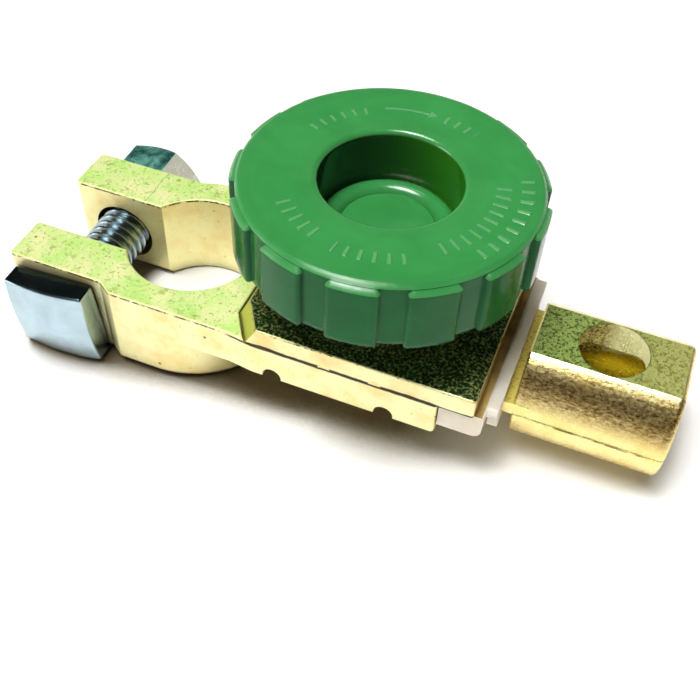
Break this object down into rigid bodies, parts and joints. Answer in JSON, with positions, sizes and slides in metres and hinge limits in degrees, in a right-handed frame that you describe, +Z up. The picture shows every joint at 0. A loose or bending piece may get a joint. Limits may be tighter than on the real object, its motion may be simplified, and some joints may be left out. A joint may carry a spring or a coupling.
{
  "type": "battery terminal disconnect switch",
  "caption": "Clamp-on battery disconnect: split ring with bolt, screw-down green knob over a plated tongue, insulated cable barrel.",
  "frame": {"origin": "axis of the battery post bore at the underside of the ring", "axes": "+Z up, +X from the ring to the cable barrel, -Y the side of the bolt head"},
  "size_m": [0.093, 0.0393, 0.0363],
  "materials": {
    "plated_brass": "cast, yellow plating",
    "white_nylon": "translucent white",
    "green_plastic": "moulded, gloss",
    "zinc_steel": "bright zinc"
  },
  "bodies": {
    "frame": {"clamp_casting": "plated_brass", "top_plate": "plated_brass", "plate_rivets": "plated_brass", "stud_bush": "plated_brass", "insulator_sleeve": "white_nylon", "insulator_end_plate": "white_nylon", "barrel_casting": "plated_brass"},
    "stud": {"knob_stud": "plated_brass"},
    "knob": {"knob_body": "green_plastic", "knob_cap": "green_plastic"},
    "bolt": {"clamp_bolt": "zinc_steel"},
    "nut": {"clamp_nut": "zinc_steel"}
  },
  "joints": [
    {"name": "stud_lift", "type": "slide", "parent": "frame", "child": "stud", "axis": [0, 0, 1], "range_m": [-0.00375, 0]},
    {"name": "knob_turn", "type": "hinge", "parent": "stud", "child": "knob", "pos_m": [0.0287, 0, 0.0261], "axis": [0, 0, 1], "range_deg": [-900, 0]},
    {"name": "bolt_travel", "type": "slide", "parent": "frame", "child": "bolt", "axis": [0, -0.9994, -0.0349], "range_m": [0, 0.0025]},
    {"name": "nut_turn", "type": "hinge", "parent": "frame", "child": "nut", "pos_m": [-0.0154, 0.0156, 0.00664], "axis": [0, 0.9994, 0.0349], "range_deg": [0, 640]}
  ],
  "couplings": [
    {"joint": "knob_turn", "follows": "stud_lift", "rad_per_m": 4188.8},
    {"joint": "nut_turn", "follows": "bolt_travel", "rad_per_m": 4452.7}
  ]
}
